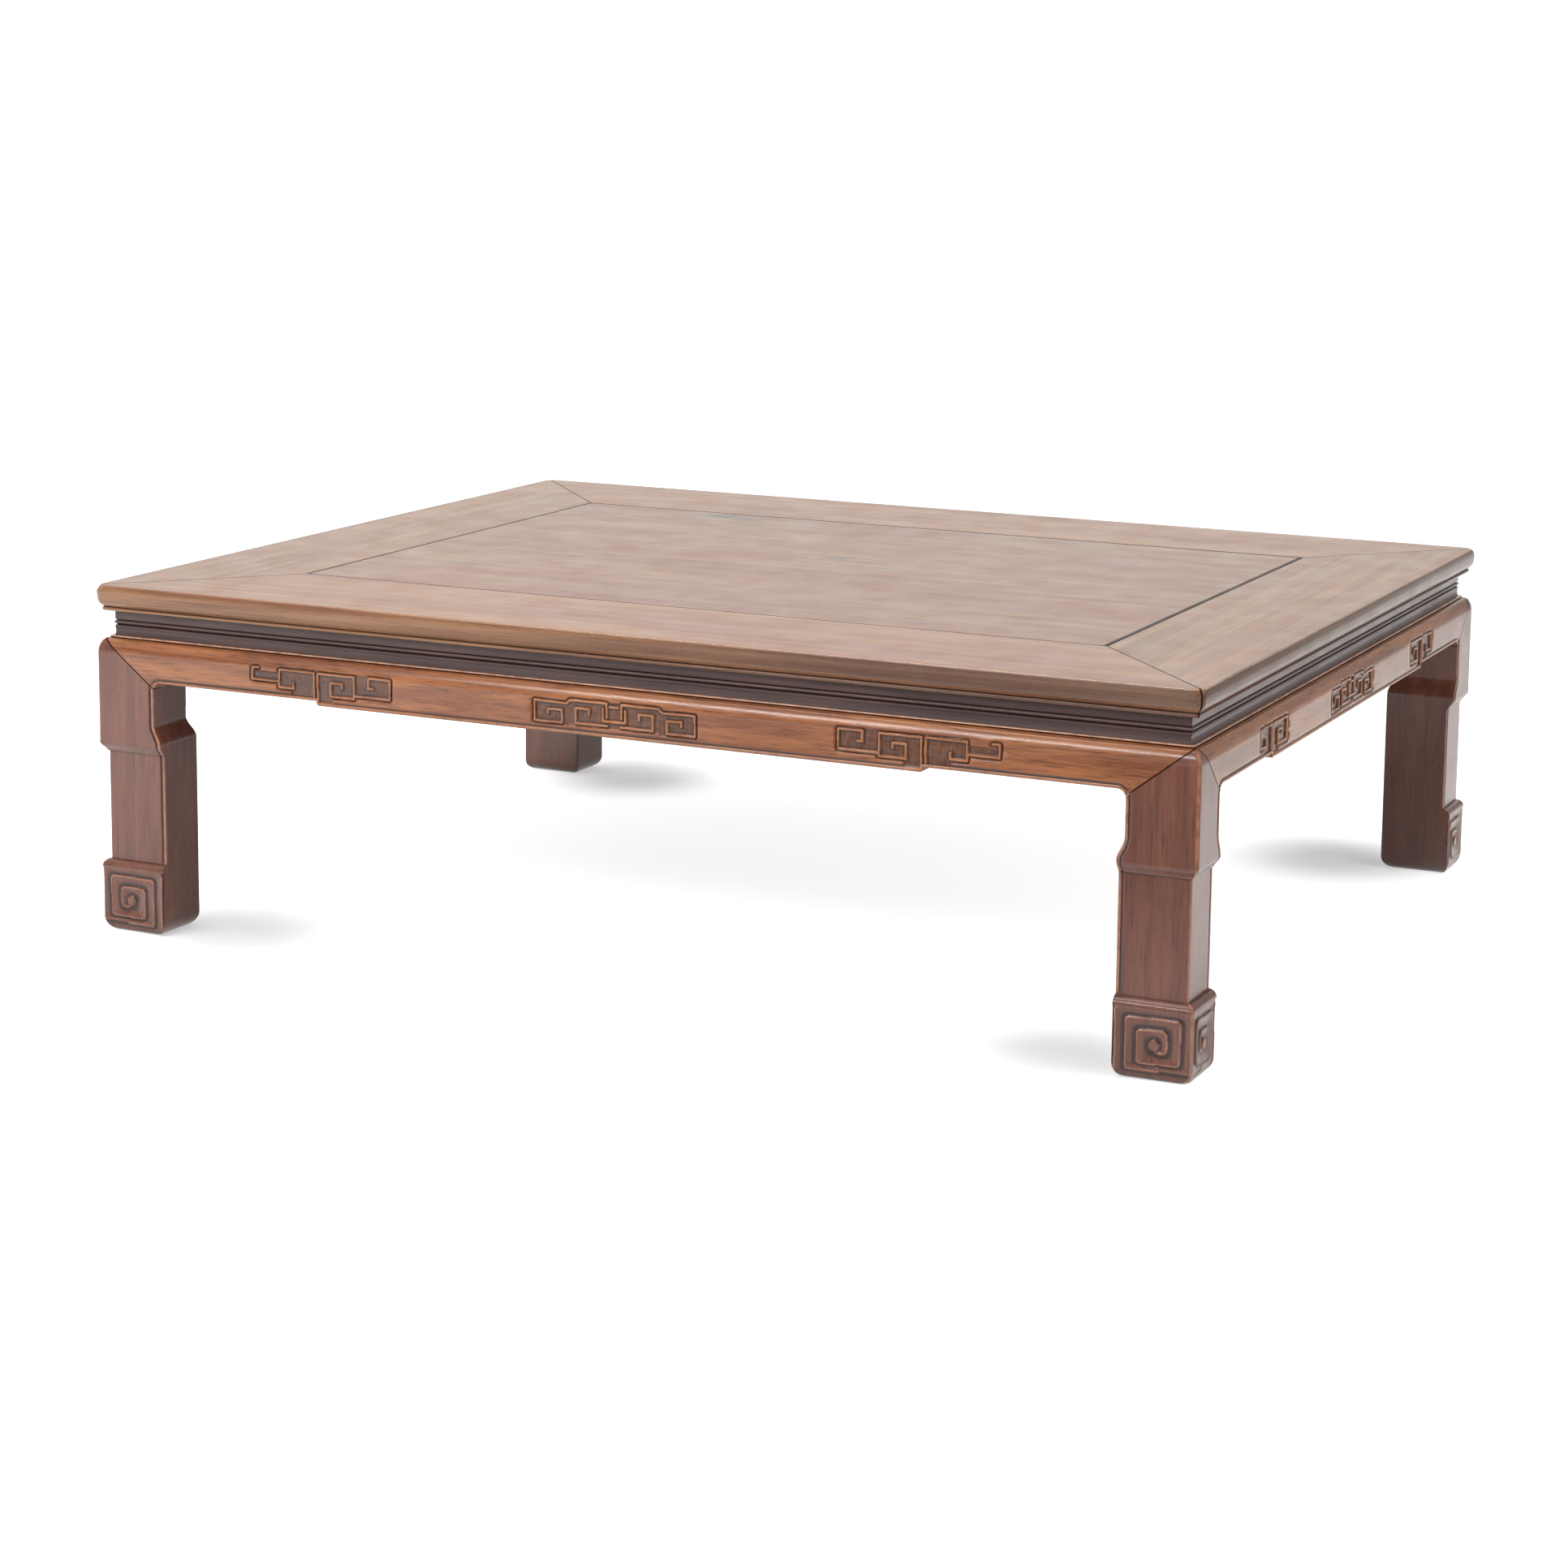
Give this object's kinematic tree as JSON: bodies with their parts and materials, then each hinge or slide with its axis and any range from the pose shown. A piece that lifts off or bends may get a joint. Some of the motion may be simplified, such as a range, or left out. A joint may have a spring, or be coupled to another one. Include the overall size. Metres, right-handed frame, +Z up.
{
  "type": "kang table",
  "caption": "Low rectangular table in the Chinese style: mitred top with floating panel, beaded recessed waist, stepped fret-carved aprons, square legs on scroll-carved feet.",
  "frame": {"origin": "floor level, under the middle of the top", "axes": "+X along the long sides to the right, +Z up, front long side at -Y"},
  "size_m": [1, 0.797, 0.305],
  "materials": {
    "top_wood": "polished, waxed hardwood, slightly faded",
    "carcass_wood": "polished reddish hardwood",
    "waist_wood": "dark patinated hardwood",
    "inner_wood": "unpolished hardwood"
  },
  "bodies": {
    "root": {"top_stile_front": "top_wood", "top_stile_back": "top_wood", "top_rail_left": "top_wood", "top_rail_right": "top_wood", "centre_panel": "top_wood", "panel_batten_1": "inner_wood", "panel_batten_2": "inner_wood", "panel_batten_3": "inner_wood", "waist_front": "waist_wood", "waist_back": "waist_wood", "waist_left": "waist_wood", "waist_right": "waist_wood", "torus_front": "carcass_wood", "torus_back": "carcass_wood", "torus_left": "carcass_wood", "torus_right": "carcass_wood", "apron_front": "carcass_wood", "apron_back": "carcass_wood", "apron_left": "carcass_wood", "apron_right": "carcass_wood", "leg_front_left": "carcass_wood", "leg_front_right": "carcass_wood", "leg_back_left": "carcass_wood", "leg_back_right": "carcass_wood", "dovetail_key_1": "inner_wood", "dovetail_key_2": "inner_wood", "dovetail_key_3": "inner_wood", "dovetail_key_4": "inner_wood"}
  },
  "joints": []
}
